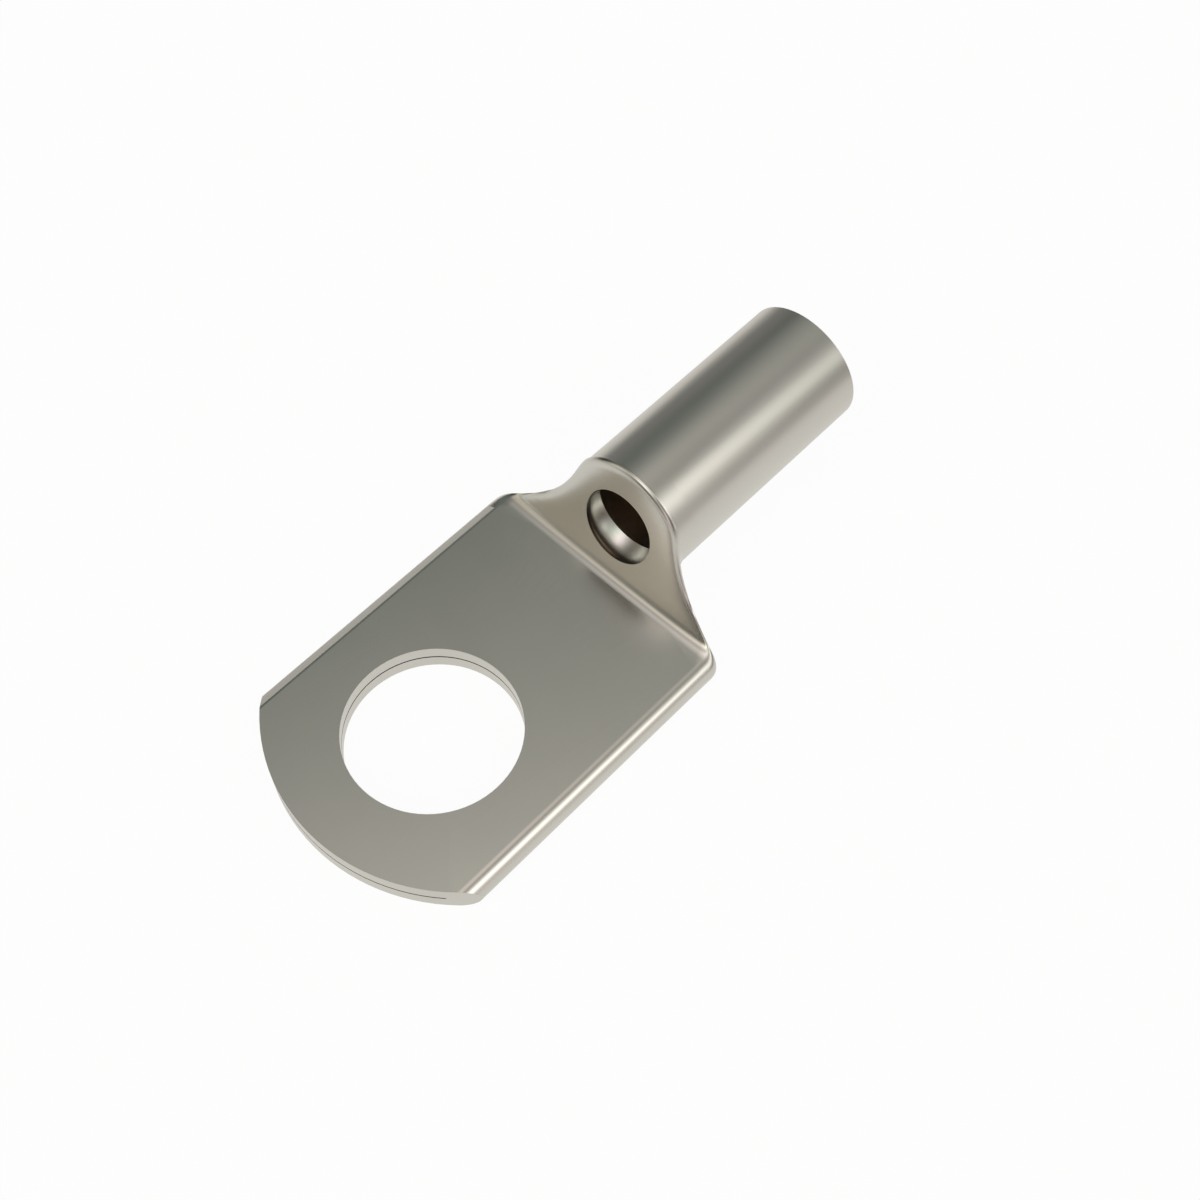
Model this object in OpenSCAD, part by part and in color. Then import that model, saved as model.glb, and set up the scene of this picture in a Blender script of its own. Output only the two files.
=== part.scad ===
// Compression lug for a stranded cable, made from one length of round tube.
// One end is pressed flat into the palm, and the other end stays round as the barrel.
// The origin is the centre of the stud hole on the underside of the palm.
// +X runs towards the mouth of the barrel, and +Z points up out of the palm.

/* [Palm] */
// Thickness of the palm, the two tube walls pressed together
palm_t = 2.3; // [2:0.1:3]
// Width across the full round sides
palm_w = 22.3; // [20:0.1:26]
// Stud hole centre to the tip
tip_reach = 11.2; // [9:0.1:14]
// Radius of the sheared tip
tip_r = 14.8; // [13.5:0.1:20]
// Stud hole centre to the bend at the foot of the neck
palm_run = 17.9; // [14:0.1:24]
// Stud hole diameter
stud_d = 13; // [8.5:0.5:14]

/* [Seam] */
// Slit left between the two pressed walls
seam_gap = 0.08; // [0.06:0.01:0.2]
// Closed fold outside the slit at each side of the palm
seam_fold = 1.8; // [1.2:0.1:3]

/* [Barrel] */
// Outer diameter of the tube
barrel_od = 10; // [9:0.1:12]
// Bore that takes the stripped conductor
barrel_id = 6.5; // [5.5:0.1:7.5]
// Depth of the bore
barrel_l = 19.2; // [14:0.1:28]
// Height of the barrel's underside over the palm's underside
barrel_rise = 2.2; // [1.2:0.1:3.5]
// Chamfer inside the mouth
mouth_chamfer = 0.4; // [0.1:0.05:0.8]

/* [Neck] */
// Length of the neck from the palm's bend to the start of the bore
neck_l = 2.5; // [2.2:0.1:5]
// Distance over which the bend at the foot of the neck is rounded
foot_bend = 0.8; // [0.3:0.05:1.2]
// Distance over which the neck rounds over into the lip
lip_bend = 0.8; // [0.4:0.05:1]
// Height of the lip over the barrel behind it
lip_rise = 0.12; // [0.05:0.01:0.2]
// Sight hole that shows how far the conductor has gone in
sight_d = 6.1; // [3:0.1:6.4]
// Height of the barrel's axis over the middle of the sight hole
sight_drop = 0.15; // [0:0.05:0.3]
// Straight wall of the sight hole behind the front face
sight_wall = 0.25; // [0.2:0.05:0.4]

/* [Hidden] */

// Places along the tube
bore_x = palm_run + neck_l;
mouth_x = bore_x + barrel_l;
axis_z = barrel_rise + barrel_od / 2;
barrel_top = barrel_rise + barrel_od;
mid_z = palm_t / 2;

// Outer bends of the neck at its top, side and underside
foot_x = [palm_run, palm_run, palm_run + 0.2 * neck_l];
lip_x = [bore_x - 0.1 * neck_l, bore_x - 0.14 * neck_l, bore_x + 0.16 * neck_l];
lip_end = [bore_x, bore_x, bore_x + 0.56 * neck_l];
foot_r = [foot_bend, foot_bend, 1.25 * foot_bend];
lip_r = [lip_bend, lip_bend, 1.5 * lip_bend];
lip_grow = [lip_rise, lip_rise, 0];
lip_z = barrel_top + lip_rise;

// The sides sweep in towards the barrel with this ease
side_ease = 1.3;

// The loft begins on the straight palm and ends on the straight barrel
loft_start = palm_run - 1.6;
loft_end = palm_run + neck_l + 1.7;
edge_turn = [90, 140];
top_steps = 20;
edge_steps = 12;
under_steps = 7;
half_steps = top_steps + edge_steps + under_steps;
bend_steps = 6;
face_steps = 7;
bowl_steps = 8;
round_fn = 120;
reach = 1;
inset = 0.4;

// The neck ends this much inside the true round barrel
seat = 0.02;

// Front face and the middle of the hole through it
front_angle = atan2(lip_z - palm_t, lip_x[0] - foot_x[0]);
sight_z = axis_z - sight_drop;
sight_x = palm_run + (sight_z - palm_t) / tan(front_angle);

// The hollow behind the hole bulges at once and then rises to the bore's edge with this slope
bowl_slope = 0.42;
bowl_ease = 0.35;

// Half the width of the slit
seam_half = palm_w / 2 - seam_fold;

// Turn round the barrel, from the top, at step i of half a ring
function turn(i) =
    i <= top_steps ? edge_turn[0] * i / top_steps :
    i <= top_steps + edge_steps ?
        edge_turn[0] + (edge_turn[1] - edge_turn[0]) * (i - top_steps) / edge_steps :
    edge_turn[1] + (180 - edge_turn[1]) * (i - top_steps - edge_steps) / under_steps;

// Point i on half of a flat section with full round sides
function flat_point(i, w, t) =
    i <= top_steps ? [(w - t) / 2 * i / top_steps, t / 2] :
    i <= top_steps + edge_steps ?
        let (a = 180 * (i - top_steps) / edge_steps) [(w - t) / 2 + t / 2 * sin(a), t / 2 * cos(a)] :
    [(w - t) / 2 * (half_steps - i) / under_steps, -t / 2];

// A value that goes from top to side to underside with the turn
function around(i, v) =
    turn(i) < 90 ? v[0] + (v[1] - v[0]) * pow(sin(turn(i)), 2) : v[1] + (v[2] - v[1]) * pow(cos(turn(i)), 4);

// A curve from a to c that rounds off the corner at b
function bend(a, b, c) = [
    for (k = [0:bend_steps])
        let (s = k / bend_steps) pow(1 - s, 2) * a + 2 * s * (1 - s) * b + pow(s, 2) * c
];

// A point on the neck, at share s of the way up from its foot to its lip
function face_point(foot, lip, s, ease) = [
    foot[0] + (lip[0] - foot[0]) * s,
    lip[1] + (foot[1] - lip[1]) * pow(1 - s, ease),
    foot[2] + (lip[2] - foot[2]) * s
];

// One line of the outer skin, from the palm over the neck and its lip to the barrel
function skin_line(i) =
    let (
        f = flat_point(i, palm_w, palm_t),
        r = barrel_od / 2 + around(i, lip_grow),
        foot = [around(i, foot_x), f[0], mid_z + f[1]],
        lip = [around(i, lip_x), r * sin(turn(i)), axis_z + r * cos(turn(i))],
        crest = [around(i, lip_end), lip[1], lip[2]],
        back = foot - [around(i, foot_r), 0, 0],
        ease = 1 + (side_ease - 1) * pow(sin(turn(i)), 2),
        first = around(i, foot_r) / norm(lip - foot),
        last = 1 - around(i, lip_r) / norm(lip - foot),
        seated = barrel_od / 2 - seat,
        ring = [seated * sin(turn(i)), axis_z + seated * cos(turn(i))]
    )
    concat(
        [[loft_start, foot[1], foot[2]]],
        bend(back, foot, face_point(foot, lip, first, ease)),
        [for (k = [1:face_steps - 1]) face_point(foot, lip, first + (last - first) * k / face_steps, ease)],
        bend(face_point(foot, lip, last, ease), lip, crest),
        [[crest[0] + seat, ring[0], ring[1]], [loft_end, ring[0], ring[1]]]
    );

// One line of the sight hole, from in front of the face over its wall and its hollow into the bore
function sight_line(i) =
    let (
        a = 180 * i / half_steps,
        out = [-sin(front_angle), 0, cos(front_angle)],
        ring = [cos(a) * cos(front_angle), sin(a), cos(a) * sin(front_angle)],
        rim = [sight_x, 0, sight_z] + sight_d / 2 * ring,
        wall = rim - sight_wall * out,
        edge = [bore_x, sight_d / 2 * sin(a), sight_z + sight_d / 2 * cos(a)],
        rise = bowl_slope * norm(edge - wall)
    )
    concat(
        [rim + reach * out],
        [for (k = [0:bowl_steps])
            let (s = pow(k / bowl_steps, 2), bulge = rise * pow(s, bowl_ease) * (1 - s))
            wall + s * (edge - wall) + bulge * ring],
        [[bore_x + inset, 0.9 * edge[1], sight_z + 0.9 * (edge[2] - sight_z)]]
    );

// Middle of a ring of points
function middle(ring) = [for (k = [0:2]) let (v = [for (p = ring) p[k]]) (min(v) + max(v)) / 2];

// Skins the lines of one side and their mirror image, and closes both ends
module loft(half) {
    lines = concat(half, [for (i = [half_steps - 1:-1:1]) [for (p = half[i]) [p[0], -p[1], p[2]]]]);
    n = len(lines);
    rows = len(lines[0]);
    last = (rows - 1) * n;
    points = [for (s = [0:rows - 1]) for (i = [0:n - 1]) lines[i][s]];
    middles = [middle([for (p = lines) p[0]]), middle([for (p = lines) p[rows - 1]])];
    skin = [
        for (s = [0:rows - 2]) for (i = [0:n - 1])
            let (a = s * n + i, d = s * n + (i + 1) % n)
            each [[a, d, d + n], [a, d + n, a + n]]
    ];
    ends = [
        for (i = [0:n - 1])
            let (j = (i + 1) % n)
            each [[j, i, last + n], [last + i, last + j, last + n + 1]]
    ];
    polyhedron(concat(points, middles), concat(skin, ends), convexity = 6);
}

// Flat palm with full round sides, its tip sheared to an arc
module palm() {
    intersection() {
        rotate([90, 0, 90]) translate([0, mid_z, -tip_reach - reach])
            linear_extrude(tip_reach + reach + loft_start) {
                square([palm_w - palm_t, palm_t], center = true);
                for (side = [-1, 1])
                    translate([side * (palm_w - palm_t) / 2, 0]) circle(d = palm_t, $fn = round_fn);
            }
        translate([0, 0, -reach]) linear_extrude(palm_t + 2 * reach) {
            translate([tip_r - tip_reach, 0]) circle(r = tip_r, $fn = round_fn);
            translate([tip_r - tip_reach, -palm_w / 2 - reach]) square([palm_run, palm_w + 2 * reach]);
        }
    }
}

// Round barrel, left as the tube came
module barrel() {
    translate([loft_end, 0, axis_z]) rotate([0, 90, 0])
        cylinder(h = mouth_x - loft_end, d = barrel_od, $fn = round_fn);
}

// Bore of the barrel with its chamfered mouth
module bore() {
    translate([bore_x, 0, axis_z]) rotate([0, 90, 0]) {
        cylinder(h = barrel_l + reach, d = barrel_id, $fn = round_fn);
        translate([0, 0, barrel_l - mouth_chamfer])
            cylinder(h = 2 * mouth_chamfer, d1 = barrel_id, d2 = barrel_id + 4 * mouth_chamfer, $fn = round_fn);
    }
}

// Slit between the pressed walls, from the tip to where the neck begins
module seam() {
    translate([(palm_run - tip_reach - reach) / 2, 0, mid_z])
        cube([palm_run + tip_reach + reach, 2 * seam_half, seam_gap], center = true);
}

// The whole lug
module lug_body() {
    color([0.78, 0.78, 0.76])
    difference() {
        union() {
            palm();
            loft([for (i = [0:half_steps]) skin_line(i)]);
            barrel();
        }
        loft([for (i = [0:half_steps]) sight_line(i)]);
        bore();
        seam();
        translate([0, 0, -reach]) cylinder(h = palm_t + 2 * reach, d = stud_d, $fn = round_fn);
    }
}

lug_body();
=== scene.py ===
import math

import bpy
from mathutils import Matrix, Vector


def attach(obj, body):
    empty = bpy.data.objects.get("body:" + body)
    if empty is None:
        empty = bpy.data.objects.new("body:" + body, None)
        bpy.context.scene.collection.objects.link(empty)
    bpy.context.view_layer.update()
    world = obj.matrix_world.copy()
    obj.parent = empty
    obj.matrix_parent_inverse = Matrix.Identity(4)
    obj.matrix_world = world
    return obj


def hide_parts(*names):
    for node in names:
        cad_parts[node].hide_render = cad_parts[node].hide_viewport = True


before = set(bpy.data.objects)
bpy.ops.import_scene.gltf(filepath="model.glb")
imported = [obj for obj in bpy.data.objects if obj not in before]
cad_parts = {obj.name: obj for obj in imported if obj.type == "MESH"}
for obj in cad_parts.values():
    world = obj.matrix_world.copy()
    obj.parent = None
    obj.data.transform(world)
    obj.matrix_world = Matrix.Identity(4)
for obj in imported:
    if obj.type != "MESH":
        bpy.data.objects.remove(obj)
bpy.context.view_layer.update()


# Lug
# The lug is one length of soft copper tube. One end is pressed flat into the
# palm, the stud hole, the tip and the sight hole are cut with punches, and the
# barrel keeps the round of the tube.
lug_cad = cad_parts["lug_body"]
lug = bpy.data.objects.new("lug", lug_cad.data.copy())
bpy.context.collection.objects.link(lug)
bpy.ops.object.select_all(action="DESELECT")
bpy.context.view_layer.objects.active = lug
lug.select_set(True)
bpy.ops.object.mode_set(mode="EDIT")
bpy.ops.mesh.select_mode(type="VERT")
bpy.ops.mesh.select_all(action="SELECT")
bpy.ops.mesh.remove_doubles(threshold=1e-7)
bpy.ops.mesh.select_all(action="DESELECT")
bpy.ops.object.mode_set(mode="OBJECT")

# The neck runs into the barrel without a step
barrel_axis = 0.0072
barrel_radius = 0.005
neck_radius = 0.00498
neck_end = 0.0204

# The upper edge on the far side of the palm was pressed flatter
palm_top = 0.0023
palm_middle = 0.00115
palm_end = 0.0164
edge_start = 0.0101
edge_slope = 0.64

for vertex in lug.data.vertices:
    x, y, z = vertex.co
    from_axis = math.hypot(y, z - barrel_axis)
    if x > neck_end and abs(from_axis - neck_radius) < 5e-6:
        vertex.co.y = y * barrel_radius / from_axis
        vertex.co.z = barrel_axis + (z - barrel_axis) * barrel_radius / from_axis
    if x < palm_end and y > edge_start and z > palm_middle:
        vertex.co.z = min(z, palm_top - edge_slope * (y - edge_start))

bpy.ops.mesh.customdata_custom_splitnormals_clear()
bpy.ops.object.shade_smooth_by_angle(angle=math.radians(30))
flats = lug.modifiers.new("flats", "WEIGHTED_NORMAL")
flats.keep_sharp = True
bpy.ops.object.modifier_apply(modifier="flats")
lug.data.materials.clear()
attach(lug, "root")
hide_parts("lug_body")


# Tin plating
# A thin satin coat of tin over the copper. Drawing the tube leaves faint lines
# along the barrel, and the punches leave upright marks on what they shear.
# Painted shade makes the bore darker and browner and the slit between the
# pressed walls near black, and painted light makes the bowl behind the sight
# hole lighter.
class Wire:
    """A shader socket that takes part in arithmetic."""

    def __init__(self, tree, socket):
        self.tree = tree
        self.socket = socket

    @classmethod
    def node(cls, tree, kind, settings=None, inputs=None, output=0):
        """Add a node with values or wires at its inputs, and return its wire."""
        made = tree.nodes.new(kind)
        for name, value in (settings or {}).items():
            setattr(made, name, value)
        for name, value in (inputs or {}).items():
            if isinstance(value, Wire):
                tree.links.new(value.socket, made.inputs[name])
            else:
                made.inputs[name].default_value = value
        return cls(tree, made.outputs[output] if made.outputs else None)

    def apply(self, operation, *values):
        return Wire.node(self.tree, "ShaderNodeMath", {"operation": operation},
                         dict(enumerate((self, *values))))

    def __add__(self, other):
        return self.apply("ADD", other)

    def __sub__(self, other):
        return self.apply("SUBTRACT", other)

    def __rsub__(self, other):
        return self * -1 + other

    def __mul__(self, other):
        return self.apply("MULTIPLY", other)

    def __lt__(self, other):
        return self.apply("LESS_THAN", other)

    def __gt__(self, other):
        return self.apply("GREATER_THAN", other)

    __radd__ = __add__
    __rmul__ = __mul__


def split(wire):
    return [Wire.node(wire.tree, "ShaderNodeSeparateXYZ", inputs={0: wire}, output=axis)
            for axis in "XYZ"]


def noise(spot, scale, detail, stretch=(1, 1, 1)):
    stretched = Wire.node(spot.tree, "ShaderNodeMapping",
                          inputs={"Vector": spot, "Scale": stretch})
    return Wire.node(spot.tree, "ShaderNodeTexNoise",
                     inputs={"Vector": stretched, "Scale": scale, "Detail": detail})


def mix(share, first, second):
    return Wire.node(share.tree, "ShaderNodeMix", {"data_type": "RGBA"},
                     {0: share, 6: first, 7: second}, output=2)


tin = bpy.data.materials.new("tinned_copper")
tin.use_nodes = True
tree = tin.node_tree
tree.nodes.clear()
spot = Wire.node(tree, "ShaderNodeTexCoord", output="Object")
x, y, z = split(spot)

clouds = noise(spot, 210, 2)
grain = noise(spot, 6000, 3)
drawn_lines = noise(spot, 1, 2, stretch=(90, 5200, 5200))
punch_marks = noise(spot, 1, 2, stretch=(5200, 5200, 500))

# The masks reach past each surface by a little, so that no bare rim is left
stud_radius = 0.00652
tip_radius = 0.01478
tip_centre = 0.0036
tip_start = -0.006
barrel_start = 0.0206
bore_radius = 0.00335
up = z - barrel_axis
from_axis = (y * y + up * up).apply("SQRT")
from_stud = (x * x + y * y).apply("SQRT")
along = x - tip_centre
from_tip_centre = (along * along + y * y).apply("SQRT")
barrel = x > barrel_start
# Mask for the painted shade inside the bore
bore_painted_shade = barrel * (from_axis < bore_radius)
tip = (x < tip_start) * (from_tip_centre > tip_radius)
sheared = ((from_stud < stud_radius) + tip).apply("MINIMUM", 1)

# Mask for the painted shade along the slit between the pressed walls
slit_half_height = 0.00007
slit_half_width = 0.0094
slit_end = 0.018
slit_painted_shade = (z.apply("COMPARE", palm_middle, slit_half_height)
        * y.apply("COMPARE", 0, slit_half_width) * (x < slit_end))

# The bowl lies behind the leaning front face and ends where the bore begins.
# Its mask carries painted light.
face_lean = 0.22
face_back = 0.0178
bowl_end = 0.02041
bowl_radius = 0.0037
bowl_painted_light = (x - z * face_lean > face_back) * (x < bowl_end) * (from_axis < bowl_radius)

coat_and_painted_light = mix(clouds * 0.7 + grain * 0.3, (0.602, 0.588, 0.550, 1), (0.640, 0.624, 0.590, 1))
# Painted light: the bowl behind the sight hole is painted lighter than the coat
coat_and_painted_light = mix(bowl_painted_light, coat_and_painted_light, (0.78, 0.76, 0.715, 1))
# Painted shade: the bore is painted darker and browner than the coat
coat_and_painted_light = mix(bore_painted_shade, coat_and_painted_light, (0.55, 0.47, 0.38, 1))
# Painted shade: the slit between the pressed walls is painted near black
coat_and_painted_light = mix(slit_painted_shade, coat_and_painted_light, (0.05, 0.04, 0.035, 1))
roughness = 0.225 + clouds * 0.03 + grain * 0.02 + barrel * 0.035 + sheared * 0.05
relief = grain * 0.5 + drawn_lines * barrel * 0.5 + punch_marks * sheared * 1.2
bump = Wire.node(tree, "ShaderNodeBump",
                 inputs={"Strength": 0.12, "Distance": 0.000004, "Height": relief})
metal = Wire.node(tree, "ShaderNodeBsdfPrincipled", inputs={
    "Metallic": 1, "Base Color": coat_and_painted_light, "Roughness": roughness, "Normal": bump})
Wire.node(tree, "ShaderNodeOutputMaterial", inputs={"Surface": metal})
lug.data.materials.append(tin)


# Sheet
# A plain white sheet lies under the lug. It is white to the lens and in the
# metal, where it dims with distance, and it keeps the lug's soft shadow.
bpy.ops.object.select_all(action="DESELECT")
bpy.ops.mesh.primitive_plane_add(size=3)
sheet = bpy.context.active_object
sheet.name = "sheet"
white = bpy.data.materials.new("white_sheet")
white.use_nodes = True
tree = white.node_tree
tree.nodes.clear()
seen, mirrored, shone_through = [
    Wire.node(tree, "ShaderNodeLightPath", output="Is %s Ray" % kind)
    for kind in ("Camera", "Glossy", "Transmission")]

# Distance from the middle of the lug, and what the metal mirrors there
lug_middle = (0.014, 0, 0)
stops = [
    (0.02, (0.967, 0.959, 0.913)),
    (0.03, (0.943, 0.923, 0.886)),
    (0.045, (0.874, 0.856, 0.810)),
    (0.07, (0.838, 0.770, 0.722)),
    (0.12, (0.323, 0.309, 0.271)),
    (0.25, (0.506, 0.600, 0.580)),
]
spot = Wire.node(tree, "ShaderNodeTexCoord", output="Object")
away = Wire.node(tree, "ShaderNodeVectorMath", {"operation": "DISTANCE"},
                 {0: spot, 1: lug_middle}, output="Value")
fade = Wire.node(tree, "ShaderNodeValToRGB", inputs={0: away})
ramp = fade.socket.node.color_ramp
while len(ramp.elements) < len(stops):
    ramp.elements.new(1)
for element, (place, colour) in zip(ramp.elements, stops):
    element.position = place
    element.color = (*colour, 1)

glow = Wire.node(tree, "ShaderNodeEmission",
                 inputs={"Color": mix(seen, fade, (1.02, 1.02, 1.02, 1))})
paper = Wire.node(tree, "ShaderNodeBsdfDiffuse", inputs={"Color": (0.8, 0.8, 0.8, 1)})
lit = seen * 0.93 + (mirrored + shone_through) * 0.85
both = Wire.node(tree, "ShaderNodeMixShader", inputs={0: lit, 1: paper, 2: glow})
Wire.node(tree, "ShaderNodeOutputMaterial", inputs={"Surface": both})
sheet.data.materials.append(white)


# Studio
# Soft panels stand all round in a dark room: azimuth and elevation in degrees,
# how narrow each one is, and the colour that it gives.
panels = [
    (180, 90, 22, (0.50, 0.28, 0.28)),
    (180, 78, 22, (0.66, 0.63, 0.71)),
    (36, 78, 22, (0.50, 0.55, 0.49)),
    (108, 78, 22, (0.33, 0.35, 0.32)),
    (-135, 66, 22, (0.67, 0.81, 0.66)),
    (-15, 53, 22, (0.36, 0.37, 0.34)),
    (180, 46, 40, (0.75, 0.72, 0.65)),
    (180, 40, 22, (1.80, 1.66, 1.46)),
    (-77, 40, 22, (2.41, 2.36, 2.25)),
    (26, 40, 22, (0.36, 0.37, 0.35)),
    (77, 40, 22, (0.15, 0.20, 0.18)),
    (129, 40, 22, (0.61, 0.57, 0.48)),
    (-56, 26, 22, (0.61, 0.61, 0.56)),
    (-140, 12, 22, (1.20, 0.99, 0.96)),
    (60, 12, 22, (0.27, 0.26, 0.25)),
    (140, 12, 22, (0.92, 0.90, 0.77)),
    (-79, -4, 22, (1.16, 1.04, 0.98)),
]
studio = bpy.data.worlds.new("studio")
bpy.context.scene.world = studio
studio.use_nodes = True
tree = studio.node_tree
tree.nodes.clear()
way_x, way_y, way_z = split(Wire.node(tree, "ShaderNodeTexCoord", output="Generated"))
red, green, blue = 0, 0, 0
for azimuth, elevation, focus, colour in panels:
    turn, lift = math.radians(azimuth), math.radians(elevation)
    facing = (way_x * (math.cos(lift) * math.cos(turn))
              + way_y * (math.cos(lift) * math.sin(turn))
              + way_z * math.sin(lift))
    panel = ((facing - 1) * focus).apply("EXPONENT")
    red += panel * colour[0]
    green += panel * colour[1]
    blue += panel * colour[2]
light = Wire.node(tree, "ShaderNodeCombineColor", inputs={0: red, 1: green, 2: blue})
room = Wire.node(tree, "ShaderNodeBackground", inputs={"Color": light})
Wire.node(tree, "ShaderNodeOutputWorld", inputs={"Surface": room})


# Camera
# It looks down on the lug from the stud end, at the photograph's angle and
# with the photograph's framing.
camera_data = bpy.data.cameras.new("camera")
camera_data.lens = 51.9
camera_data.sensor_width = 36
camera_data.clip_start = 0.001
camera = bpy.data.objects.new("camera", camera_data)
place = Vector((-0.03191, -0.04724, 0.11040))
right = Vector((0.68693, -0.72670, -0.00592))
up = Vector((0.62182, 0.58354, 0.52233))
forward = Vector((0.37612, 0.36248, -0.85272))
turned = Matrix((right, up, -forward)).transposed().to_4x4()
camera.matrix_world = Matrix.Translation(place) @ turned
bpy.context.collection.objects.link(camera)
bpy.context.scene.camera = camera
bpy.context.scene.view_settings.view_transform = "Standard"
